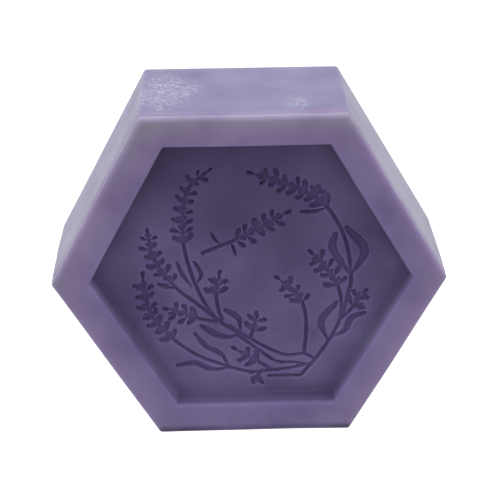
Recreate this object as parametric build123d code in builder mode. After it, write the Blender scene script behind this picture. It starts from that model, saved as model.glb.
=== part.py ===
"""Hexagonal silicone soap mould: one thick casting with a shallow recess in its top face.

The floor of the recess is engraved with a lavender wreath. The casting is divided into its
functional zones: six mitred wall panels that carry the rim, the solid base block that they
stand around, and the engraved floor panel that closes the recess from below.

Millimetres, +Z up. The origin is the centre of the flat underside. +X points at a corner of
the hexagon, and +Y is the top of the engraved picture.
"""

import os
from dataclasses import dataclass
from math import cos, radians, sin, tan

from build123d import *

os.makedirs("parts", exist_ok=True)

# ---------------------------------------------------------------- driving dimensions
# Body
BODY_HEIGHT = 36.0
RIM_ACROSS_FLATS = 78.0  # outer hexagon, measured at the rim
OUTER_DRAFT = 1.7  # degrees by which the outer walls lean in towards the rim

# Recess
RIM_WIDTH = 7.3  # from the outer edge of the rim to the recess, across a flat
RECESS_DEPTH = 5.0
FLOOR_PANEL_THICKNESS = 6.0

# Edges
CORNER_RADIUS = 0.8  # upright corners of the body
RIM_EDGE_RADIUS = 1.2  # outer edge of the rim
RECESS_EDGE_RADIUS = 0.8  # inner edge of the rim
BASE_EDGE_RADIUS = 0.6

# Engraving
ENGRAVING_DEPTH = 1.0
STEM_WIDTH = 1.0
BUD_LENGTH = 2.9
BUD_WIDTH = 1.3
BUD_ROOTING = 0.35  # how far the foot of a bud reaches back past its place on the stem
WHORL_SPACING = 2.8  # between pairs of buds along a flower head
BUD_SPREAD = 48.0  # degrees between a bud and its stem
PICTURE_FIELD = 63.4  # across the flats of the floor that the picture is drawn for

# ---------------------------------------------------------------- worked out
SIDES = 6
SECTOR = 360.0 / SIDES
base_across_flats = RIM_ACROSS_FLATS + 2 * BODY_HEIGHT * tan(radians(OUTER_DRAFT))
recess_across_flats = RIM_ACROSS_FLATS - 2 * RIM_WIDTH
floor_height = BODY_HEIGHT - RECESS_DEPTH
panel_underside = floor_height - FLOOR_PANEL_THICKNESS
picture_scale = recess_across_flats / PICTURE_FIELD

# The walls, anticlockwise from the +X corner
WALL_NAMES = (
    "wall_rear_right",
    "wall_rear",
    "wall_rear_left",
    "wall_front_left",
    "wall_front",
    "wall_front_right",
)


# ---------------------------------------------------------------- the engraved picture
@dataclass(frozen=True)
class Sprig:
    """A curved stem from its root to its tip, with a flower head over its last stretch."""

    route: tuple
    head: float = 0.0  # length of the flower head, 0 for a bare stem


@dataclass(frozen=True)
class Leaf:
    """A leaf along a curved middle line, widest halfway and pointed at both ends."""

    route: tuple
    width: float


SPRIGS = (
    # left half of the wreath
    Sprig(((-2, -16.5), (-8, -12), (-12, -4.5), (-14.5, 4.5), (-15, 11), (-13.5, 18), (-9.8, 23.3)), 18),
    Sprig(((-8, -12), (-12.5, -8), (-17, -4), (-21, 1), (-22.8, 5), (-23.2, 8.5)), 13),
    Sprig(((-5, -25), (-12, -22), (-18, -17.5), (-22, -11.5), (-23.8, -6), (-24.3, -2.8)), 17),
    Sprig(((-7, -13), (-11, -12.3), (-15, -11), (-17.8, -10)), 6),
    Sprig(((-6.5, -12.5), (-7.5, -8.5), (-7.7, -4.5), (-7.2, -2.2)), 4),
    Sprig(((0, -17.5), (1, -14.5), (1.3, -12.8)), 3),
    # stems gathered along the bottom
    Sprig(((-5, -25), (0, -26.3), (7, -25.8), (14, -24.5))),
    Sprig(((-5, -14), (1.5, -18.5), (8, -21.8), (12.5, -21.7), (15, -23))),
    Sprig(((-3, -16.5), (2, -20.5), (6, -23.5), (10.5, -24), (14, -24.5))),
    Sprig(((4.5, -27.5), (12, -27.5))),
    Sprig(((5, -25.8), (1.5, -23.5), (-2.3, -21)), 5),
    Sprig(((3, -26), (2.2, -26.8), (1.5, -27.6)), 1),
    # right half of the wreath
    Sprig(((12, -27.5), (15.5, -23), (19, -17.5), (21.3, -11.5), (20.7, -5), (18, 0), (15.3, 3)), 9),
    Sprig(((21.5, -12), (23, -6), (23.5, -1.5), (22, 7.5), (18, 15), (12, 19.5), (6, 22), (2.2, 23.2)), 17),
    Sprig(((21.5, -12.5), (24, -10), (26.3, -7.3)), 2.5),
    Sprig(((12.7, -21.7), (13.2, -14), (12.3, -8.5), (9.8, -5), (7.8, -3.2)), 7),
    # a loose sprig lying across the upper half
    Sprig(((-10.5, 4.5), (-1, 8.5), (7.5, 13.3)), 12),
)

LEAVES = (
    Leaf(((-13.3, -3.8), (-15.3, -0.8), (-16.5, 2.3)), 1.1),
    Leaf(((-12.3, -3.5), (-11, -0.8), (-12.5, 2.3)), 1.1),
    Leaf(((-16.5, -4.3), (-18.7, -3.9), (-21, -3)), 1.1),
    Leaf(((-2.2, -15), (-2.8, -12), (-5.7, -10)), 1.6),
    Leaf(((-4, -17.2), (-8, -16.3), (-11.3, -14)), 1.7),
    Leaf(((-5, -25), (-7, -21.5), (-10.5, -19.3), (-13, -16)), 1.5),
    Leaf(((-5, -25.3), (-9.5, -25.5), (-13, -23.8), (-17.5, -24.5)), 1.5),
    Leaf(((23.3, -1.5), (19.3, 4.8), (19.9, 8.5)), 1.9),
    Leaf(((23.6, -1.5), (26.6, 4.5), (22.4, 10)), 2.0),
    Leaf(((18.2, -18), (16.7, -13.3), (20.2, -8.5)), 1.8),
    Leaf(((19, -17.3), (23, -15.3), (26.8, -11.3)), 1.7),
    Leaf(((18, 15), (17.7, 18), (15.3, 20)), 1.4),
    Leaf(((17.7, 15), (15, 14.2), (12, 14.2)), 1.1),
    Leaf(((-4, 7), (-3.5, 5.5), (-3, 4)), 0.9),
    Leaf(((-6, 6.2), (-7.5, 7.5), (-8.5, 9.3)), 0.9),
)


def placed_bud(point: Vector, heading: float) -> Sketch:
    """One bud with its foot in the stem at point, pointing along heading in degrees."""
    ahead = picture_scale * (BUD_LENGTH / 2 - BUD_ROOTING)
    middle = (point.X + ahead * cos(radians(heading)), point.Y + ahead * sin(radians(heading)))
    with BuildSketch() as bud:
        with Locations(Location((*middle, 0), (0, 0, heading))):
            Ellipse(picture_scale * BUD_LENGTH / 2, picture_scale * BUD_WIDTH / 2)
    return bud.sketch


def sprig_outline(sprig: Sprig) -> list[Sketch]:
    """The stem of a sprig and every bud of its head, as flat shapes."""
    points = [(picture_scale * x, picture_scale * y) for x, y in sprig.route]
    with BuildSketch() as stem:
        with BuildLine():
            line = Spline(*points) if len(points) > 2 else Line(*points)
        trace(line_width=picture_scale * STEM_WIDTH)
    shapes = [stem.sketch]
    length = line.length / picture_scale
    for whorl in range(int(sprig.head / WHORL_SPACING)):
        along = 1 - (sprig.head - whorl * WHORL_SPACING) / length
        point, heading = line.position_at(along), line.tangent_angle_at(along)
        shapes += [placed_bud(point, heading + side * BUD_SPREAD) for side in (1, -1)]
    if sprig.head:
        shapes.append(placed_bud(line.position_at(1), line.tangent_angle_at(1)))
    return shapes


def leaf_outline(leaf: Leaf) -> Sketch:
    """A leaf as a flat shape between its two edges."""
    points = [Vector(x, y) * picture_scale for x, y in leaf.route]
    with BuildSketch() as blade:
        with BuildLine():
            middle = Spline(*points, mode=Mode.PRIVATE)
            for side in (1, -1):
                bends = []
                for along, share in ((0.25, 0.8), (0.5, 1.0), (0.75, 0.8)):
                    out = middle.tangent_at(along).rotate(Axis.Z, side * 90)
                    bends.append(middle.position_at(along) + out * share * picture_scale * leaf.width / 2)
                Spline(points[0], *bends, points[-1])
        make_face()
    return blade.sketch


picture = [shape for sprig in SPRIGS for shape in sprig_outline(sprig)]
picture += [leaf_outline(leaf) for leaf in LEAVES]


# ---------------------------------------------------------------- engraved floor panel
with BuildPart() as engraved_floor:
    with BuildSketch(Plane.XY.offset(panel_underside)):
        RegularPolygon(recess_across_flats / 2, SIDES, major_radius=False)
    extrude(amount=FLOOR_PANEL_THICKNESS)
    with BuildSketch(Plane.XY.offset(floor_height)):
        add(picture)
    extrude(amount=-ENGRAVING_DEPTH, mode=Mode.SUBTRACT)
engraved_floor.part.label = "engraved_floor"
export_step(engraved_floor.part, "parts/engraved_floor.step")


# ---------------------------------------------------------------- base block
with BuildPart() as base_block:
    with BuildSketch():
        RegularPolygon(recess_across_flats / 2, SIDES, major_radius=False)
    extrude(amount=panel_underside)
base_block.part.label = "base_block"
export_step(base_block.part, "parts/base_block.step")


# ---------------------------------------------------------------- six mitred walls
with BuildPart() as wall_ring:
    with BuildSketch():
        RegularPolygon(base_across_flats / 2, SIDES, major_radius=False)
    extrude(amount=BODY_HEIGHT, taper=OUTER_DRAFT)
    fillet(wall_ring.edges().group_by(Axis.Z)[1], CORNER_RADIUS)
    fillet(wall_ring.edges().group_by(Axis.Z)[-1], RIM_EDGE_RADIUS)
    fillet(wall_ring.edges().group_by(Axis.Z)[0], BASE_EDGE_RADIUS)
    with BuildSketch():
        RegularPolygon(recess_across_flats / 2, SIDES, major_radius=False)
    extrude(amount=BODY_HEIGHT, mode=Mode.SUBTRACT)
    rim_edges = wall_ring.edges().group_by(Axis.Z)[-1]
    fillet(rim_edges.sort_by_distance((0, 0, BODY_HEIGHT))[:SIDES], RECESS_EDGE_RADIUS)

for number, name in enumerate(WALL_NAMES):
    start, end = radians(SECTOR * number), radians(SECTOR * (number + 1))
    after_start = Plane(origin=(0, 0, 0), z_dir=(-sin(start), cos(start), 0))
    before_end = Plane(origin=(0, 0, 0), z_dir=(sin(end), -cos(end), 0))
    with BuildPart() as wall:
        add(wall_ring.part)
        split(bisect_by=after_start, keep=Keep.TOP)
        split(bisect_by=before_end, keep=Keep.TOP)
    wall.part.label = name
    export_step(wall.part, f"parts/{name}.step")
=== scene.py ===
"""Looks of a hexagonal silicone soap mould with a lavender wreath engraved in its recess.

The real mould is one pour of silicone, so the six walls, the base block and the engraved floor
panel of the CAD frame are shown as one closed casting. It is a stack of hexagonal rings that runs
from the middle of the underside, out and up the walls, over the rim and down to the middle of
the engraved floor.

Metres throughout. +Z points out of the recess, +X at a corner of the hexagon and +Y at the top of
the engraved picture.
"""

import logging
import math
from dataclasses import dataclass
from enum import Enum

import bpy
import numpy as np
from mathutils import Matrix, Vector


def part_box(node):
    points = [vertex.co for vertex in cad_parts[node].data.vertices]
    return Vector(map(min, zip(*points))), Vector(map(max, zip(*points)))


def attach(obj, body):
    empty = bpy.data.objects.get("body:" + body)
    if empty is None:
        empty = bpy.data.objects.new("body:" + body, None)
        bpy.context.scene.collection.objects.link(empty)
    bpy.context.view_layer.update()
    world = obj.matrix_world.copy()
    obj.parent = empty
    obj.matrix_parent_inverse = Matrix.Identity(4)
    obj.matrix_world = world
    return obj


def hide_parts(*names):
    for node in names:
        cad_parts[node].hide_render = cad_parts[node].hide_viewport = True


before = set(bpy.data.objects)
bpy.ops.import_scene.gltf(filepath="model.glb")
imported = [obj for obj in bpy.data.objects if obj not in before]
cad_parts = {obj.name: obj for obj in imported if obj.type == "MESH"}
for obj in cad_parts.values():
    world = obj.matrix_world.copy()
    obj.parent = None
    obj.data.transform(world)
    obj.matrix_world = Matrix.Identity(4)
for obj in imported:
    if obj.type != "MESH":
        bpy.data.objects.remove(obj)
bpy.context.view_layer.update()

LOG = logging.getLogger("soap_mould")
MM = 0.001
SIDES = 6
CORNER_TO_FLAT = math.cos(math.pi / SIDES)
SIDE_ANGLES = (np.arange(SIDES) + 0.5) * math.tau / SIDES  # directions square to the six walls
WALL_DRAFT = math.radians(1.7)
PICTURE_FIELD = 63.4 * MM  # the recess, across its flats, that the wreath is drawn for
WHITE = "#FFFFFF"


def linear_rgba(hex_colour: str) -> tuple[float, float, float, float]:
    """Turn an sRGB hex colour into linear light.

    Args:
        hex_colour: six hex digits with a leading #.

    Returns:
        Linear red, green, blue and an alpha of 1.
    """
    channels = [int(hex_colour[i : i + 2], 16) / 255 for i in (1, 3, 5)]
    linear = [c / 12.92 if c <= 0.04045 else ((c + 0.055) / 1.055) ** 2.4 for c in channels]
    return (*linear, 1.0)


def add_node(
    tree: bpy.types.NodeTree, kind: str, inputs: dict | None = None, **settings: object
) -> bpy.types.Node:
    """Add a shader node with its settings, plain values and links.

    Args:
        tree: the node tree to add to.
        kind: the node's type name.
        inputs: socket name or index to a plain value, or to the output socket that feeds it.
        **settings: attributes of the node itself.

    Returns:
        The new node.
    """
    node = tree.nodes.new(kind)
    for name, value in settings.items():
        setattr(node, name, value)
    for key, value in (inputs or {}).items():
        if isinstance(value, bpy.types.NodeSocket):
            tree.links.new(value, node.inputs[key])
        else:
            node.inputs[key].default_value = value
    return node


def eased(value: np.ndarray) -> np.ndarray:
    """Ease a 0 to 1 ramp in and out, held at its ends."""
    held = np.clip(value, 0.0, 1.0)
    return held * held * (3 - 2 * held)


# ------------------------------------------------------------------ the engraved picture
class Cut(Enum):
    """How the half-width of an engraved stroke runs from its root to its tip."""

    STEM = "stem"
    LEAF = "leaf"
    BUD = "bud"

    def half_width(self, along: np.ndarray, width: float) -> np.ndarray:
        """Give the half-width at each place along the stroke.

        Args:
            along: 0 at the root to 1 at the tip.
            width: full width at the widest place.

        Returns:
            Half-widths, one for each place.
        """
        if self is Cut.STEM:
            share = 1.0 - 0.15 * along
        elif self is Cut.LEAF:
            share = 0.5 + 0.5 * eased(along / 0.5) - 0.3 * eased((along - 0.75) / 0.25)
        else:
            share = 0.5 + 0.5 * eased((along - 0.15) / 0.6)
        return 0.5 * width * share


@dataclass(frozen=True)
class Stroke:
    """One engraved stroke: a centre line and the half-width at each of its points."""

    line: np.ndarray
    half_widths: np.ndarray


@dataclass(frozen=True)
class Sprig:
    """A curved stem in millimetres from root to tip, with a flower head over its last stretch.

    The buds at the head's tip are smaller than those at its foot by the share in taper.
    """

    route: tuple[tuple[float, float], ...]
    head: float = 0.0
    taper: float = 0.1


@dataclass(frozen=True)
class Leaf:
    """A leaf in millimetres along a curved middle line, and how wide it gets."""

    route: tuple[tuple[float, float], ...]
    width: float


def smooth_route(points: np.ndarray, step: float) -> np.ndarray:
    """Draw a Catmull-Rom curve through a few points.

    Args:
        points: the route's points, one row each.
        step: the largest spacing wanted along the curve, in the points' units.

    Returns:
        Points along the curve, from the first to the last.
    """
    padded = np.vstack([2 * points[0] - points[1], points, 2 * points[-1] - points[-2]])
    spans = []
    for before, start, end, after in zip(padded, padded[1:], padded[2:], padded[3:]):
        count = max(2, int(np.linalg.norm(end - start) / step))
        t = np.linspace(0, 1, count, endpoint=False)[:, None]
        slope_in, slope_out = (end - before) / 2, (after - start) / 2
        spans.append(
            (2 * t**3 - 3 * t**2 + 1) * start
            + (t**3 - 2 * t**2 + t) * slope_in
            + (3 * t**2 - 2 * t**3) * end
            + (t**3 - t**2) * slope_out
        )
    return np.vstack([*spans, points[-1:]])


@dataclass
class WreathEngraving:
    """The wreath of lavender sprigs and leaves, and how deep it is cut at any place.

    The strokes are drawn in millimetres and scaled to the floor that they are cut into. Every
    whorl of a flower head has an outer and an inner bud on either side of the stem.
    """

    scale: float
    # in metres: how deep the cut is, and how far its wall slopes
    depth: float = 1.0 * MM
    wall: float = 0.30 * MM
    # in the drawing's millimetres, degrees and shares
    stem_width: float = 1.25
    bud_length: float = 2.6
    bud_width: float = 1.55
    leaf_fullness: float = 1.15
    whorl_spacing: float = 2.4
    bud_spread: float = 54.0
    inner_spread: float = 20.0
    spread_play: float = 11.0
    inner_size: float = 0.8
    tip_size: float = 0.9
    size_play: tuple[float, float] = (0.86, 1.1)
    bud_stand_off: float = 0.25
    last_whorl: float = 0.3
    step: float = 0.35
    seed: int = 11
    sprigs: tuple[Sprig, ...] = (
        # left half of the wreath
        Sprig(
            (
                *((-2, -16.5), (-8, -12), (-12, -4.5), (-14.5, 4.5)),
                *((-15, 11), (-14.4, 17), (-13, 20.9), (-9.5, 23.8)),
            ),
            19,
            0.3,
        ),
        Sprig(((-8, -12), (-12.5, -8), (-17, -4), (-20.6, 1), (-22.3, 5), (-22.8, 8.7)), 13, 0.25),
        Sprig(((-5, -25), (-12, -22), (-18.2, -17.2), (-22.7, -11.5), (-24.2, -6), (-24.4, -2.3)), 17),
        Sprig(((-7, -13), (-11, -12.3), (-15, -11), (-17.8, -10)), 6),
        Sprig(((-6.5, -12.5), (-7.5, -8.5), (-7.7, -4.5), (-7.2, -2.2)), 4),
        Sprig(((0, -17.5), (1, -14.5), (1.3, -12.8)), 3),
        # stems gathered along the bottom
        Sprig(((-5, -25), (0, -26.3), (7, -25.8), (14, -24.5))),
        Sprig(((-5, -14), (1.5, -18.5), (8, -21.8), (12.5, -21.7), (15, -23))),
        Sprig(((-3, -16.5), (2, -20.5), (6, -23.5), (10.5, -24), (14, -24.5))),
        Sprig(((4.5, -27.5), (12, -27.5))),
        Sprig(((5, -25.8), (1.5, -23.5), (-2.3, -21)), 5),
        Sprig(((3, -26), (2.2, -26.8), (1.5, -27.6)), 1),
        # right half of the wreath
        Sprig(((12, -27.5), (15.5, -23), (19, -17.5), (21.3, -11.5), (20.7, -5), (18, 0), (15.3, 3)), 9),
        Sprig(
            (
                *((21.5, -12), (23, -6), (23.5, -1.5), (22, 7.5)),
                *((18, 15), (12, 19.5), (6, 22), (2.2, 23.2)),
            ),
            17,
        ),
        Sprig(((21.5, -12.5), (24, -10), (26, -7.2)), 3.4),
        Sprig(((12.7, -21.7), (13.2, -14), (12.3, -8.5), (9.8, -5), (7.8, -3.2)), 7),
        # a loose sprig lying across the upper half
        Sprig(((-10.5, 4.5), (-1, 8.5), (7.5, 13.3)), 12),
    )
    leaves: tuple[Leaf, ...] = (
        Leaf(((-13.3, -3.8), (-15.3, -0.8), (-16.5, 2.3)), 1.1),
        Leaf(((-12.3, -3.5), (-11, -0.8), (-12.5, 2.3)), 1.1),
        Leaf(((-16.5, -4.3), (-18.7, -3.9), (-21, -3)), 1.1),
        Leaf(((-2.2, -15), (-2.8, -12), (-5.7, -10)), 1.6),
        Leaf(((-2.7, -16.5), (-5, -17), (-8, -16.3), (-11.3, -14)), 1.7),
        Leaf(((-5, -25), (-7, -21.5), (-10.5, -19.3), (-13, -16)), 1.5),
        Leaf(((-5, -25.3), (-9.5, -25.5), (-13, -23.8), (-17.3, -24.3)), 1.6),
        Leaf(((23.3, -1.5), (19.3, 4.8), (19.9, 8.5)), 1.9),
        Leaf(((23.6, -1.5), (26.6, 4.5), (22.4, 10)), 2.0),
        Leaf(((18.2, -18), (16.7, -13.3), (20.2, -8.5)), 1.8),
        Leaf(((19, -17.3), (22.2, -15.8), (23.7, -12.6), (26.6, -11.3)), 1.6),
        Leaf(((18, 15), (17.9, 18), (14.3, 20)), 1.4),
        Leaf(((17.7, 15), (15, 14.2), (12, 14.2)), 1.1),
        Leaf(((-4, 7), (-3.5, 5.5), (-3, 4)), 0.9),
        Leaf(((-6, 6.2), (-7.5, 7.5), (-8.5, 9.3)), 0.9),
    )

    def strokes(self) -> list[Stroke]:
        """Give every stroke of the picture, in metres on the floor of the recess."""
        random = np.random.default_rng(self.seed)
        cuts = [cut for sprig in self.sprigs for cut in self.sprig_strokes(sprig, random)]
        for leaf in self.leaves:
            width = leaf.width * self.leaf_fullness
            cuts.append(self.stroke(np.array(leaf.route, float), Cut.LEAF, width))
        return cuts

    def stroke(self, points: np.ndarray, cut: Cut, width: float) -> Stroke:
        """Make one stroke from points and a width in millimetres."""
        line = smooth_route(points, self.step)
        along = np.linspace(0, 1, len(line))
        return Stroke(line * self.scale * MM, cut.half_width(along, width) * self.scale * MM)

    def sprig_strokes(self, sprig: Sprig, random: np.random.Generator) -> list[Stroke]:
        """Cut a stem and the whorls of buds up its flower head.

        Args:
            sprig: the sprig to cut.
            random: source of the small differences between buds.

        Returns:
            The stem's stroke and one stroke for each bud.
        """
        points = np.array(sprig.route, float)
        cuts = [self.stroke(points, Cut.STEM, self.stem_width)]
        if not sprig.head:
            return cuts
        line = smooth_route(points, self.step)
        reach = np.append(0, np.cumsum(np.linalg.norm(np.diff(line, axis=0), axis=1)))
        for below_tip in np.arange(sprig.head, self.last_whorl, -self.whorl_spacing):
            place, heading = self.on_line(line, reach, reach[-1] - below_tip)
            size = 1.0 - sprig.taper * (1 - below_tip / sprig.head)
            for side in (1, -1):
                for spread, share in ((self.bud_spread, 1.0), (self.inner_spread, self.inner_size)):
                    spread += random.uniform(-self.spread_play, self.spread_play)
                    turn = heading + side * math.radians(spread)
                    cuts.append(self.bud(place, turn, share * size * random.uniform(*self.size_play)))
        place, heading = self.on_line(line, reach, reach[-1])
        return [*cuts, self.bud(place, heading, self.tip_size * (1 - sprig.taper))]

    def on_line(self, line: np.ndarray, reach: np.ndarray, at: float) -> tuple[np.ndarray, float]:
        """Give the point at a distance along a line, and the line's heading there."""
        place = np.array([np.interp(at, reach, line[:, axis]) for axis in (0, 1)])
        last = int(np.clip(np.searchsorted(reach, at), 1, len(line) - 1))
        ahead = line[last] - line[last - 1]
        return place, math.atan2(ahead[1], ahead[0])

    def bud(self, foot: np.ndarray, heading: float, size: float) -> Stroke:
        """Cut one bud that stands on the stem at foot."""
        ahead = np.array([math.cos(heading), math.sin(heading)])
        start, tip = foot + ahead * self.bud_stand_off, foot + ahead * self.bud_length * size
        return self.stroke(np.array([start, tip]), Cut.BUD, self.bud_width * size)

    def carve(self, places: np.ndarray, spacing: float) -> tuple[np.ndarray, np.ndarray]:
        """Cut the picture into a field of floor points.

        Points next to the top or the foot of a cut's wall slide onto it, so that the edges
        of the strokes follow the drawing and not the grid.

        Args:
            places: X and Y of each floor point, one row each.
            spacing: distance between neighbouring floor points.

        Returns:
            The moved places, and how deep each one is cut.
        """
        outside = np.full(len(places), 10 * self.wall)
        nearest = np.zeros_like(places)
        margin = 2 * self.wall
        for stroke in self.strokes():
            reach = stroke.half_widths.max() + margin
            low, high = stroke.line.min(0) - reach, stroke.line.max(0) + reach
            close = np.flatnonzero(np.all((places > low) & (places < high), axis=1))
            for start, end, wide_start, wide_end in zip(
                stroke.line, stroke.line[1:], stroke.half_widths, stroke.half_widths[1:]
            ):
                span = end - start
                share = np.clip((places[close] - start) @ span / (span @ span), 0, 1)[:, None]
                foot = start + share * span
                gap = np.linalg.norm(places[close] - foot, axis=1)
                gap -= wide_start + (wide_end - wide_start) * share[:, 0]
                better = gap < outside[close]
                outside[close[better]] = gap[better]
                nearest[close[better]] = foot[better]
        away = places - nearest
        away /= np.maximum(np.linalg.norm(away, axis=1, keepdims=True), 1e-9)
        moved = places.copy()
        for level in (0.0, -self.wall):
            near = np.abs(outside - level) < 0.45 * spacing
            moved[near] += (away * (level - outside)[:, None])[near]
            outside[near] = level
        return moved, self.depth * eased(-outside / self.wall)


# ------------------------------------------------------------------ the casting
@dataclass(frozen=True)
class Ring:
    """One hexagonal ring of the casting's surface."""

    apothem: float
    height: float
    corner_radius: float
    divisions: int


@dataclass(frozen=True)
class Scuff:
    """A rubbed patch of the surface: its middle, its reach along X, Y and Z, and its strength."""

    place: np.ndarray
    reach: np.ndarray
    strength: float


@dataclass
class MouldCasting:
    """The whole mould: one closed skin that stands for every zone of the CAD frame.

    The side_ values run round the mould from the wall next to +X: rear right, rear, rear left,
    front left, front, front right.
    """

    # taken from the frame
    base_apothem: float
    rim_apothem: float
    recess_apothem: float
    height: float
    floor_height: float
    # points to one side of a ring
    divisions: int = 138
    underside_divisions: int = 23
    # rings to each stretch of the skin
    base_edge_rings: int = 2
    wall_rings: int = 14
    rim_edge_rings: int = 6
    rim_rings: int = 6
    recess_edge_rings: int = 4
    recess_rings: int = 6
    # radii of the rounded edges and corners
    base_edge: float = 0.6 * MM
    rim_edge: float = 1.2 * MM
    recess_edge: float = 0.8 * MM
    recess_foot: float = 0.7 * MM
    upright_corner: float = 0.8 * MM
    recess_corner: float = 0.5 * MM
    # how far the soft casting strays from the true shape
    wall_bulge: float = 0.18 * MM
    rim_sink: float = 0.08 * MM
    unevenness: float = 0.10 * MM
    swells: tuple[tuple[float, float], ...] = ((55 * MM, 0.5), (28 * MM, 0.3), (13 * MM, 0.2))
    seed: int = 5
    skew: float = 0.02
    lean: float = 0.3 * MM
    rim_shift: float = 0.45 * MM
    recess_shift: float = 0.45 * MM
    crease: float = 0.28 * MM
    crease_below_rim: float = 0.4 * MM
    crease_waver: float = 0.16 * MM
    # where painted glow, painted shade, dust with painted sheen, and rubbing show
    light_reach: float = 4.2 * MM
    recess_shade: float = 1.2 * MM
    soft_edge: float = 1.0 * MM
    side_light: tuple[float, ...] = (0.4, 1.4, 0.8, 0.4, 0.0, 0.4)
    side_dust_and_sheen: tuple[float, ...] = (0.35, 0.05, 0.3, 0.08, 0.04, 0.08)
    scuffs: tuple[Scuff, ...] = (
        Scuff(np.array([-19, 39.5, 18]) * MM, np.array([6, 4, 15]) * MM, 1.0),
        Scuff(np.array([-13, 39.5, 16]) * MM, np.array([3, 3, 7]) * MM, 0.7),
        Scuff(np.array([11.5, 39.5, 28]) * MM, np.array([3, 3, 4]) * MM, 0.8),
        Scuff(np.array([-29, 29, 26]) * MM, np.array([5, 5, 9]) * MM, 0.35),
    )

    @classmethod
    def from_frame(cls) -> "MouldCasting":
        """Take the driving sizes from the CAD zones."""
        low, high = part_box("wall_rear")
        block_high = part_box("base_block")[1]
        floor_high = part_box("engraved_floor")[1]
        rim_apothem = high.y - (high.z - low.z) * math.tan(WALL_DRAFT)
        return cls(
            base_apothem=high.y,
            rim_apothem=rim_apothem,
            recess_apothem=block_high.y,
            height=high.z,
            floor_height=floor_high.z,
        )

    def rounded(
        self, centre: tuple[float, float], radius: float, start: float, end: float, count: int
    ) -> list[tuple[float, float]]:
        """Give distances from the axis and heights round one rounded edge, ends left out."""
        turns = np.radians(np.linspace(start, end, count + 2)[1:-1])
        return [(centre[0] + radius * math.cos(t), centre[1] + radius * math.sin(t)) for t in turns]

    def wall_apothem(self, height: float) -> float:
        """Give the outer wall's distance from the axis at a height."""
        share = height / self.height
        bulge = self.wall_bulge * math.sin(math.pi * share)
        return self.base_apothem + (self.rim_apothem - self.base_apothem) * share + bulge

    @property
    def crease_height(self) -> float:
        """Height of the fine crease that runs round the walls just below the rim."""
        return self.height - self.rim_edge - self.crease_below_rim

    def rings(self) -> list[Ring]:
        """List every ring, from the middle of the underside to the middle of the floor."""
        rings = self.underside_rings()
        rings += [Ring(a, z, self.upright_corner, self.divisions) for a, z in self.wall_and_rim()]
        rings += [Ring(a, z, self.recess_corner, self.divisions) for a, z in self.recess_wall()]
        for n in range(self.divisions, -1, -1):
            reach = (self.recess_apothem - self.recess_foot) * n / self.divisions
            rings.append(Ring(reach, self.floor_height, 0, n))
        return rings

    def underside_rings(self) -> list[Ring]:
        """List the coarse rings of the underside, and one that leads over to the fine ones."""
        flat, coarse = self.base_apothem - self.base_edge, self.underside_divisions
        inner, outer = 0.96 * flat, 0.98 * flat
        rings = [Ring(inner * n / coarse, 0, 0, n) for n in range(coarse + 1)]
        return [*rings, Ring(outer, 0, self.upright_corner, 3 * coarse)]

    def wall_and_rim(self) -> list[tuple[float, float]]:
        """Trace the outer wall and the rim: distances from the axis and heights."""
        edge, rim, folded = self.base_edge, self.rim_edge, self.crease_height
        flat, below_rim = self.base_apothem - edge, self.height - rim
        outline = [(flat, 0.0)]
        outline += self.rounded((flat, edge), edge, -90, 0, self.base_edge_rings)
        to_crease = np.linspace(edge, folded - self.crease_below_rim, self.wall_rings)
        outline += [(self.wall_apothem(z), z) for z in to_crease]
        outline.append((self.wall_apothem(folded) - self.crease, folded))
        outline.append((self.wall_apothem(below_rim), below_rim))
        top, inner = self.wall_apothem(below_rim) - rim, self.recess_apothem + self.recess_edge
        outline += self.rounded((top, below_rim), rim, 0, 90, self.rim_edge_rings)
        for share in np.linspace(0, 1, self.rim_rings):
            sink = self.rim_sink * math.sin(math.pi * share)
            outline.append((top + (inner - top) * share, self.height - sink))
        return outline

    def recess_wall(self) -> list[tuple[float, float]]:
        """Trace the recess from the rim to the floor: distances from the axis and heights."""
        apothem, lip, foot = self.recess_apothem, self.recess_edge, self.recess_foot
        below_lip, above_foot = self.height - lip, self.floor_height + foot
        turned = self.recess_edge_rings
        outline = self.rounded((apothem + lip, below_lip), lip, 90, 180, turned)
        outline += [(apothem, z) for z in np.linspace(below_lip, above_foot, self.recess_rings)]
        return outline + self.rounded((apothem - foot, above_foot), foot, 0, -90, turned)

    def ring_points(self, ring: Ring) -> np.ndarray:
        """Place a ring's points, with its corners rounded."""
        if not ring.divisions:
            return np.array([[0.0, 0.0, ring.height]])
        corner = ring.apothem / CORNER_TO_FLAT
        tangent = ring.corner_radius * math.tan(math.pi / SIDES)
        along = np.arange(ring.divisions) / ring.divisions * corner
        rows = []
        for side in range(SIDES):
            angle = side * math.tau / SIDES
            start = corner * np.array([math.cos(angle), math.sin(angle)])
            end_angle = angle + math.tau / SIDES
            end = corner * np.array([math.cos(end_angle), math.sin(end_angle)])
            flat = start + (end - start) * (along / corner)[:, None]
            for at_angle, gap, sign in ((angle, along, 1), (end_angle, corner - along, -1)):
                near = gap < tangent
                turn = at_angle + sign * (math.pi / SIDES) * gap[near] / max(tangent, 1e-12)
                middle = corner - ring.corner_radius / CORNER_TO_FLAT
                centre = middle * np.array([math.cos(at_angle), math.sin(at_angle)])
                flat[near] = centre + ring.corner_radius * np.stack([np.cos(turn), np.sin(turn)], 1)
            rows.append(flat)
        outline = np.vstack(rows)
        return np.column_stack([outline, np.full(len(outline), ring.height)])

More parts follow.
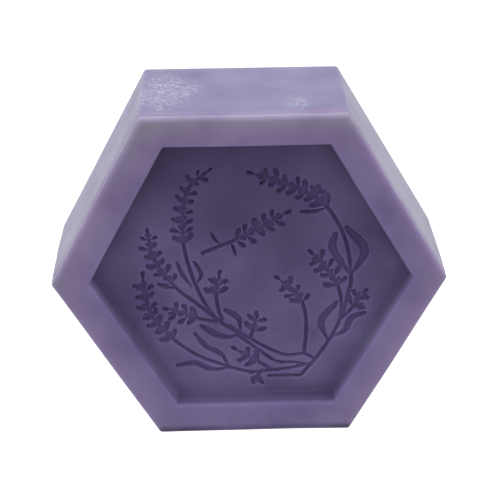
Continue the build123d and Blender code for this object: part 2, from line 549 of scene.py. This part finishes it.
    def bridge(self, first: int, n: int, second: int, m: int) -> list[tuple[int, ...]]:
        """Join two neighbouring rings with faces.

        Args:
            first: index of the first ring's first point.
            n: the first ring's divisions to a side.
            second: index of the second ring's first point.
            m: the second ring's divisions to a side.

        Returns:
            Faces as point indices.
        """
        faces = []
        for side in range(SIDES):
            a = [first + (side * n + i) % (SIDES * n) if n else first for i in range(n + 1)]
            b = [second + (side * m + i) % (SIDES * m) if m else second for i in range(m + 1)]
            if n == m:
                faces += [(a[i], a[i + 1], b[i + 1], b[i]) for i in range(n)]
                continue
            i = j = 0
            while i < n or j < m:
                if j >= m or (i < n and (i + 1) * m <= (j + 1) * n):
                    faces.append((a[i], a[i + 1], b[j]))
                    i += 1
                else:
                    faces.append((a[i], b[j + 1], b[j]))
                    j += 1
        return faces

    def waviness(self, points: np.ndarray) -> np.ndarray:
        """Give a slow, smooth unevenness of about plus or minus 1 at each point."""
        random = np.random.default_rng(self.seed)
        total = np.zeros(len(points))
        for wavelength, share in self.swells:
            for _ in range(3):
                direction = random.normal(size=3)
                direction *= math.tau / wavelength / np.linalg.norm(direction)
                total += share * np.sin(points @ direction + random.uniform(0, math.tau)) / 1.7
        return total

    def painted_glow(self, points: np.ndarray) -> np.ndarray:
        """Give how much painted glow each point gets: painted light for light let through the walls,
        brightest beside the rear.
        """
        total = np.zeros(len(points))
        for angle, share in zip(SIDE_ANGLES, self.side_light):
            inwards = self.rim_apothem - points[:, :2] @ [math.cos(angle), math.sin(angle)]
            total += share * np.exp(-np.maximum(inwards, 0) / self.light_reach)
        above_shade = points[:, 2] - self.floor_height - self.recess_shade
        in_recess = self.height - self.floor_height - 1.6 * MM
        return np.minimum(total, 1) * eased(above_shade / in_recess)

    def dust_and_sheen(self, points: np.ndarray) -> np.ndarray:
        """Give how much grey is painted on each point of the outer walls: fine dust, and a painted sheen
        where the walls are seen edge-on.
        """
        turns = np.arctan2(points[:, 1], points[:, 0]) * SIDES / math.tau
        share = np.array(self.side_dust_and_sheen)[np.floor(turns).astype(int) % SIDES]
        patches = np.clip(0.85 + 0.15 * self.waviness(points * 2.3), 0, 1)
        above_base = eased(points[:, 2] / (2 * self.soft_edge))
        return share * self.outer_wall(points) * patches * above_base

    def outer_wall(self, points: np.ndarray) -> np.ndarray:
        """Give 1 on the outer walls and the underside, fading out as they round over to the rim."""
        below_rim = eased((self.height - self.rim_edge - points[:, 2]) / self.soft_edge)
        inwards = self.rim_apothem - self.outward(points)
        at_walls = eased((1.5 * MM - inwards) / self.soft_edge)
        return below_rim * np.maximum(at_walls, eased(1 - points[:, 2] / self.soft_edge))

    def above_floor(self, points: np.ndarray) -> np.ndarray:
        """Give 0 near the height of the recess floor and below it, and 1 at the rim."""
        return eased((points[:, 2] - self.floor_height - self.recess_shade) / (2.5 * MM))

    def painted_edge_shade(self, points: np.ndarray) -> np.ndarray:
        """Give how much painted shade darkens each point along the front outer edge of the rim."""
        at_front = eased((-points[:, 1] - self.rim_apothem + 1.4 * MM) / (1.2 * MM))
        at_rim = eased((points[:, 2] - self.height + 5 * MM) / (3 * MM))
        return 0.8 * at_front * at_rim * np.clip(0.85 + 0.3 * self.waviness(points * 3.1), 0, 1)

    def settle(self, points: np.ndarray) -> None:
        """Let the soft casting stand a little out of true, all but the engraved part of its floor.

        Args:
            points: the casting's points, moved in place.
        """
        away = self.outward(points)
        loose = eased((away / self.recess_apothem - 0.88) / 0.1)
        outer = eased((away - self.recess_apothem - 1.5 * MM) / (3 * MM))
        points[:, 0] += (self.recess_shift * (1 - outer) - self.skew * points[:, 1]) * loose
        points[:, 1] -= (self.lean * loose + self.rim_shift * outer) * points[:, 2] / self.height

    def ripple(self, points: np.ndarray) -> None:
        """Make the walls and the rim slightly uneven, and leave the underside flat.

        Args:
            points: the casting's points, moved in place.
        """
        lift = self.unevenness * self.waviness(points)
        outward = points[:, :2] / np.maximum(np.linalg.norm(points[:, :2], axis=1), 1e-9)[:, None]
        from_base = eased(points[:, 2] / (6 * MM))
        points[:, :2] += outward * (lift * from_base)[:, None]
        points[:, 2] += 0.6 * lift * eased((points[:, 2] - 0.75 * self.height) / (4 * MM))

    def outward(self, points: np.ndarray) -> np.ndarray:
        """Give each point's distance from the axis, measured square to the nearest wall."""
        return (points[:, :2] @ np.array([np.cos(SIDE_ANGLES), np.sin(SIDE_ANGLES)])).max(axis=1)

    def clouds_and_painted_shade(self, points: np.ndarray) -> np.ndarray:
        """Give how pale each point is painted: paler towards the front, as painted shade that darkens
        the rear, and in slow clouds of uneven tone.
        """
        clouds = 0.2 * self.waviness(points * 1.7)
        return np.clip(0.5 - 0.5 * points[:, 1] / self.recess_apothem + clouds, 0, 1)

    def scuffed(self, points: np.ndarray) -> np.ndarray:
        """Give how rubbed each point is, from 0 to 1."""
        total = np.zeros(len(points))
        for scuff in self.scuffs:
            away = (points - scuff.place) / scuff.reach
            total += scuff.strength * np.exp(-np.sum(away**2, axis=1) ** 2)
        return np.clip(total, 0, 1)

    def paint(self, mesh: bpy.types.Mesh, name: str, values: np.ndarray) -> None:
        """Store one value for each point of the mesh under a name."""
        layer = mesh.attributes.new(name, "FLOAT", "POINT")
        layer.data.foreach_set("value", values.astype(np.float32))

    def build(self, engraving: WreathEngraving) -> bpy.types.Object:
        """Make the closed casting with the wreath cut into its floor.

        Args:
            engraving: the picture to cut.

        Returns:
            The mesh object, linked to the scene.
        """
        rings = self.rings()
        rows = [self.ring_points(ring) for ring in rings]
        starts = np.append(0, np.cumsum([len(row) for row in rows]))
        points = np.vstack(rows)
        faces = []
        for index, (ring, inner) in enumerate(zip(rings, rings[1:])):
            faces += self.bridge(starts[index], ring.divisions, starts[index + 1], inner.divisions)

        floor_start = starts[len(rings) - self.divisions - 1]
        spacing = self.recess_apothem / CORNER_TO_FLAT / self.divisions
        places, cut = engraving.carve(points[floor_start:, :2], spacing)
        points[floor_start:, :2] = places
        engraved = np.zeros(len(points))
        engraved[floor_start:] = cut / engraving.depth

        # painted shade along the crease that runs round the walls
        at_crease = np.abs(points[:, 2] - self.crease_height) < 0.01 * MM
        crease_shade = np.where(at_crease, np.clip(0.75 + 0.4 * self.waviness(points * 3.3), 0, 1), 0.0)
        points[at_crease, 2] += self.crease_waver * self.waviness(points[at_crease] * 2.9)
        self.settle(points)
        self.ripple(points)
        points[floor_start:, 2] -= cut

        mesh = bpy.data.meshes.new("mould_casting")
        mesh.from_pydata(points.tolist(), [], faces)
        mesh.validate()
        mesh.shade_smooth()
        self.paint(mesh, "engraved", engraved)
        self.paint(mesh, "crease_shade", crease_shade)
        self.paint(mesh, "painted_glow", self.painted_glow(points))
        self.paint(mesh, "scuffed", self.scuffed(points))
        self.paint(mesh, "clouds_and_painted_shade", self.clouds_and_painted_shade(points))
        self.paint(mesh, "outer_wall", self.outer_wall(points))
        self.paint(mesh, "dust_and_sheen", self.dust_and_sheen(points))
        self.paint(mesh, "painted_edge_shade", self.painted_edge_shade(points))
        self.paint(mesh, "above_floor", self.above_floor(points))
        casting = bpy.data.objects.new("mould_casting", mesh)
        bpy.context.scene.collection.objects.link(casting)
        return casting


# ------------------------------------------------------------------ finishes
@dataclass(frozen=True)
class CastSilicone:
    """Pigmented condensation-cure silicone rubber, cast and cured against a smooth pattern.

    To the eye it is a soft, slightly waxy lavender: broad dull highlights and a pale bloom where it
    is seen edge-on. Its colour carries painted light and shade: a painted glow on the rim where light
    comes through the walls, a painted sheen on the side walls, and painted shade on the recess floor,
    in the grooves, along the crease and along the front edge.
    """

    # tones of the recess floor, darker than the rim and walls as painted shade of the recess; the floor
    # runs from the deep to the pale tone towards the front as painted shade, and in clouds
    deep_floor_tone: str = "#5A4779"
    pale_floor_tone: str = "#8377A6"
    rim_tone: str = "#8D80B0"
    wall_pigment: str = "#857DA7"
    # colours of the painted glow on the rim, pinker where faint and greyer where strongest
    lit_flush: str = "#C0A4C8"
    lit_through: str = "#A7A1B6"
    # grey for dust, and for painted sheen on the side walls
    dust_sheen_grey: str = "#8A84A2"
    # painted shade along the front outer edge
    edge_shade_tone: str = "#3E3355"
    # painted shade in the engraved grooves
    groove_shade_tint: str = "#DFCFF0"
    chalk: str = "#D6D2E2"
    # mottle of uneven tone, and painted shade along the crease
    mottle_and_crease_shade: str = "#CBC2DA"
    ior: float = 1.41
    roughness: float = 0.46
    roughness_play: float = 0.1
    cloud_size: float = 14 * MM
    grain_size: float = 0.35 * MM
    grain_depth: float = 0.02 * MM
    scuff_size: float = 1.1 * MM
    scuff_depth: float = 0.1 * MM
    scatter_depth: float = 2.5 * MM
    scatter_spread: tuple[float, float, float] = (1.0, 0.75, 1.25)

    def material(self) -> bpy.types.Material:
        """Build the silicone's material."""
        made = bpy.data.materials.new("cast_silicone")
        made.use_nodes = True
        tree = made.node_tree
        tree.nodes.clear()
        place = add_node(tree, "ShaderNodeTexCoord").outputs["Object"]
        clouds = self.noise(tree, place, self.cloud_size, 3.0)
        scuffs = self.scuff_marks(tree, place)
        low, high = self.roughness - self.roughness_play, self.roughness + self.roughness_play
        surface = add_node(
            tree,
            "ShaderNodeBsdfPrincipled",
            {
                "Base Color": self.colour(tree, clouds, scuffs),
                "Roughness": self.ramp(tree, clouds, low, high),
                "IOR": self.ior,
                "Normal": self.relief(tree, place, scuffs),
                "Subsurface Weight": 1.0,
                "Subsurface Radius": self.scatter_spread,
                "Subsurface Scale": self.scatter_depth,
                "Sheen Weight": 0.25,
                "Sheen Roughness": 0.4,
            },
        )
        add_node(tree, "ShaderNodeOutputMaterial", {"Surface": surface.outputs["BSDF"]})
        return made

    def colour(
        self,
        tree: bpy.types.NodeTree,
        clouds: bpy.types.NodeSocket,
        scuffs: bpy.types.NodeSocket,
    ) -> bpy.types.NodeSocket:
        """Lay the silicone's colours over one another, from the pigment through painted glow, sheen and
        shade out to the chalky scuffs.

        Args:
            tree: the material's node tree.
            clouds: slow cloudy noise.
            scuffs: how much chalk shows at each place.

        Returns:
            The finished colour.
        """
        glow = self.painted(tree, "painted_glow")
        lit = self.blend(tree, glow, linear_rgba(self.lit_flush), linear_rgba(self.lit_through))
        layers = (
            # floor paler towards the front, as painted shade of its rear, and in clouds of uneven tone
            (self.painted(tree, "clouds_and_painted_shade"), linear_rgba(self.pale_floor_tone), "MIX"),
            # rim tone over the floor's darker tone, which is painted shade of the recess
            (self.painted(tree, "above_floor"), linear_rgba(self.rim_tone), "MIX"),
            (self.painted(tree, "outer_wall"), linear_rgba(self.wall_pigment), "MIX"),
            # painted glow: painted light for light let through the walls
            (glow, lit, "MIX"),
            # grey for dust, and painted sheen where the side walls are seen edge-on
            (self.painted(tree, "dust_and_sheen"), linear_rgba(self.dust_sheen_grey), "MIX"),
            # painted shade along the front outer edge
            (self.painted(tree, "painted_edge_shade"), linear_rgba(self.edge_shade_tone), "MIX"),
            # painted shade in the engraved grooves
            (self.painted(tree, "engraved"), linear_rgba(self.groove_shade_tint), "MULTIPLY"),
            # painted shade along the crease
            (self.painted(tree, "crease_shade"), linear_rgba(self.mottle_and_crease_shade), "MULTIPLY"),
            (self.ramp(tree, clouds, -0.8, 1.2), linear_rgba(self.mottle_and_crease_shade), "MULTIPLY"),
            (scuffs, linear_rgba(self.chalk), "MIX"),
        )
        colour = linear_rgba(self.deep_floor_tone)
        for share, layer, how in layers:
            colour = self.blend(tree, share, colour, layer, how)
        return colour

    def relief(
        self, tree: bpy.types.NodeTree, place: bpy.types.NodeSocket, scuffs: bpy.types.NodeSocket
    ) -> bpy.types.NodeSocket:
        """Raise the fine grain of the pattern and the rubbed flecks, and give the new normal."""
        grain = self.noise(tree, place, self.grain_size, 2.0)
        inputs = {"Height": grain, "Strength": 0.25, "Distance": self.grain_depth}
        grained = add_node(tree, "ShaderNodeBump", inputs).outputs["Normal"]
        inputs = {"Height": scuffs, "Strength": 0.5, "Distance": self.scuff_depth}
        return add_node(tree, "ShaderNodeBump", inputs | {"Normal": grained}).outputs["Normal"]

    def painted(self, tree: bpy.types.NodeTree, name: str) -> bpy.types.NodeSocket:
        """Read one of the casting's painted values."""
        return add_node(tree, "ShaderNodeAttribute", attribute_name=name).outputs["Fac"]

    def noise(
        self, tree: bpy.types.NodeTree, place: bpy.types.NodeSocket, size: float, detail: float
    ) -> bpy.types.NodeSocket:
        """Add cloudy noise whose blobs are about size across."""
        inputs = {"Vector": place, "Scale": 1 / size, "Detail": detail, "Roughness": 0.55}
        return add_node(tree, "ShaderNodeTexNoise", inputs).outputs["Fac"]

    def blend(
        self,
        tree: bpy.types.NodeTree,
        share: bpy.types.NodeSocket,
        first: object,
        second: object,
        how: str = "MIX",
    ) -> bpy.types.NodeSocket:
        """Blend a second colour over a first. Each is a plain value or a socket."""
        inputs = {"Factor_Float": share, "A_Color": first, "B_Color": second}
        mixed = add_node(tree, "ShaderNodeMix", data_type="RGBA", blend_type=how)
        for name, value in inputs.items():
            socket = next(socket for socket in mixed.inputs if socket.identifier == name)
            if isinstance(value, bpy.types.NodeSocket):
                tree.links.new(value, socket)
            else:
                socket.default_value = value
        return next(socket for socket in mixed.outputs if socket.identifier == "Result_Color")

    def ramp(
        self, tree: bpy.types.NodeTree, value: bpy.types.NodeSocket, low: float, high: float
    ) -> bpy.types.NodeSocket:
        """Stretch a 0 to 1 value to run from low to high."""
        inputs = {"Value": value, "To Min": low, "To Max": high}
        return add_node(tree, "ShaderNodeMapRange", inputs).outputs["Result"]

    def scuff_marks(
        self, tree: bpy.types.NodeTree, place: bpy.types.NodeSocket
    ) -> bpy.types.NodeSocket:
        """Break the rubbed patches up into small chalky flecks."""
        inputs = {"Vector": place, "Scale": 1 / self.scuff_size, "Detail": 3.0, "Distortion": 1.5}
        flecks = add_node(tree, "ShaderNodeTexNoise", inputs).outputs["Fac"]
        inputs = {"Value": flecks, "From Min": 0.44, "From Max": 0.74, "To Max": 0.85}
        flecks = add_node(tree, "ShaderNodeMapRange", inputs).outputs["Result"]
        rubbed = self.painted(tree, "scuffed")
        inputs = {0: flecks, 1: rubbed}
        return add_node(tree, "ShaderNodeMath", inputs, operation="MULTIPLY").outputs["Value"]


@dataclass(frozen=True)
class LightTable:
    """White acrylic light table: pale, even, and bright enough to wash out shadows."""

    colour: str = "#F4F3F5"
    glow: float = 0.8

    def material(self) -> bpy.types.Material:
        """Build the table's material."""
        made = bpy.data.materials.new("white_acrylic_table")
        made.use_nodes = True
        tree = made.node_tree
        tree.nodes.clear()
        surface = add_node(
            tree,
            "ShaderNodeBsdfPrincipled",
            {
                "Base Color": linear_rgba(self.colour),
                "Roughness": 0.6,
                "Emission Color": linear_rgba(WHITE),
                "Emission Strength": self.glow,
            },
        )
        add_node(tree, "ShaderNodeOutputMaterial", {"Surface": surface.outputs["BSDF"]})
        return made


# ------------------------------------------------------------------ the studio
@dataclass
class Studio:
    """Pale floor, soft lights and the camera.

    The key soft box lies low behind the mould, where it lights the rear wall.
    """

    floor_size: float = 6.0
    floor_lap: float = 1.5 * MM
    dim_side: float = 0.3
    bright_side: float = 0.7
    brightest: tuple[float, float, float] = (0.0, 0.5, 0.866)
    key_colour: str = "#F0F1FF"
    key_place: tuple[float, float, float] = (-0.1, 0.9, 0.02)
    key_aim: tuple[float, float, float] = (0.0, 0.0, 0.02)
    key_width: float = 0.7
    key_height: float = 0.07
    key_power: float = 5.0
    target: tuple[float, float, float] = (0.2 * MM, 7.2 * MM, 36.0 * MM)
    distance: float = 275.4 * MM
    elevation: float = 67.56
    azimuth: float = -2.2
    roll: float = -0.78
    lens: float = 88.5

    def floor(self, finish: LightTable, under: MouldCasting) -> bpy.types.Object:
        """Lay the floor round the mould, open underneath it so that its underside can be seen.

        Args:
            finish: what the floor is made of.
            under: the casting that stands on the floor.

        Returns:
            The floor object.
        """
        turns = [side * math.tau / SIDES for side in range(SIDES)]
        points = [
            (apothem / CORNER_TO_FLAT * math.cos(turn), apothem / CORNER_TO_FLAT * math.sin(turn), 0)
            for apothem in (under.base_apothem - self.floor_lap, self.floor_size / 2)
            for turn in turns
        ]
        faces = [(n, SIDES + n, SIDES + (n + 1) % SIDES, (n + 1) % SIDES) for n in range(SIDES)]
        mesh = bpy.data.meshes.new("studio_floor")
        mesh.from_pydata(points, [], faces)
        mesh.materials.append(finish.material())
        floor = bpy.data.objects.new("studio_floor", mesh)
        bpy.context.scene.collection.objects.link(floor)
        # the walls mirror the bright floor, but its glow doesn't flatten their shading
        floor.visible_diffuse = False
        return floor

    def key_soft_box(self) -> bpy.types.Object:
        """Set up the key soft box, facing the mould."""
        lamp = bpy.data.lights.new("key_soft_box", "AREA")
        lamp.shape = "RECTANGLE"
        lamp.size, lamp.size_y = self.key_width, self.key_height
        lamp.energy = self.key_power
        lamp.color = linear_rgba(self.key_colour)[:3]
        light = bpy.data.objects.new("key_soft_box", lamp)
        light.location = self.key_place
        facing = Vector(self.key_aim) - Vector(self.key_place)
        light.rotation_euler = facing.to_track_quat("-Z", "Y").to_euler()
        bpy.context.scene.collection.objects.link(light)
        return light

    def world(self) -> None:
        """Fill the room with plain white light, brightest above the rear and dim from the front."""
        world = bpy.data.worlds.new("studio_world")
        bpy.context.scene.world = world
        world.use_nodes = True
        tree = world.node_tree
        tree.nodes.clear()
        sight = add_node(tree, "ShaderNodeTexCoord").outputs["Generated"]
        towards = add_node(
            tree, "ShaderNodeVectorMath", {0: sight, 1: self.brightest}, operation="DOT_PRODUCT"
        )
        inputs = {"Value": towards.outputs["Value"], "From Min": -1.0}
        inputs |= {"To Min": self.dim_side, "To Max": self.bright_side}
        strength = add_node(tree, "ShaderNodeMapRange", inputs).outputs["Result"]
        inputs = {"Color": linear_rgba(WHITE), "Strength": strength}
        glow = add_node(tree, "ShaderNodeBackground", inputs)
        add_node(tree, "ShaderNodeOutputWorld", {"Surface": glow.outputs["Background"]})

    def camera(self) -> bpy.types.Object:
        """Set up the camera above the far wall, with the picture's top upwards."""
        azimuth, elevation = math.radians(self.azimuth), math.radians(self.elevation)
        away = Vector(
            (
                math.sin(azimuth) * math.cos(elevation),
                math.cos(azimuth) * math.cos(elevation),
                math.sin(elevation),
            )
        )
        right = Vector((0, 1, 0)).cross(away).normalized()
        turned = Matrix((right, away.cross(right), away)).transposed()
        data = bpy.data.cameras.new("studio_camera")
        data.lens = self.lens
        data.clip_start = 10 * MM
        camera = bpy.data.objects.new("studio_camera", data)
        roll = Matrix.Rotation(math.radians(self.roll), 4, "Z")
        place = Matrix.Translation(Vector(self.target) + away * self.distance)
        camera.matrix_world = place @ turned.to_4x4() @ roll
        bpy.context.scene.collection.objects.link(camera)
        bpy.context.scene.camera = camera
        return camera

    def build(self, mould: MouldCasting) -> None:
        """Set up the whole studio round the mould."""
        self.floor(LightTable(), mould)
        self.key_soft_box()
        self.world()
        self.camera()
        bpy.context.scene.view_settings.view_transform = "Standard"


def main() -> None:
    """Build the casting and the studio, and say what was made."""
    logging.basicConfig(level=logging.INFO, format="%(name)s: %(message)s")
    mould = MouldCasting.from_frame()
    engraving = WreathEngraving(scale=2 * mould.recess_apothem / PICTURE_FIELD)
    casting = mould.build(engraving)
    casting.data.materials.append(CastSilicone().material())
    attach(casting, "root")
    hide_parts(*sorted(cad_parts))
    mesh = casting.data
    LOG.info("%s: %d points, %d faces", casting.name, len(mesh.vertices), len(mesh.polygons))
    Studio().build(mould)
    LOG.info("studio ready")


if __name__ == "__main__":
    main()
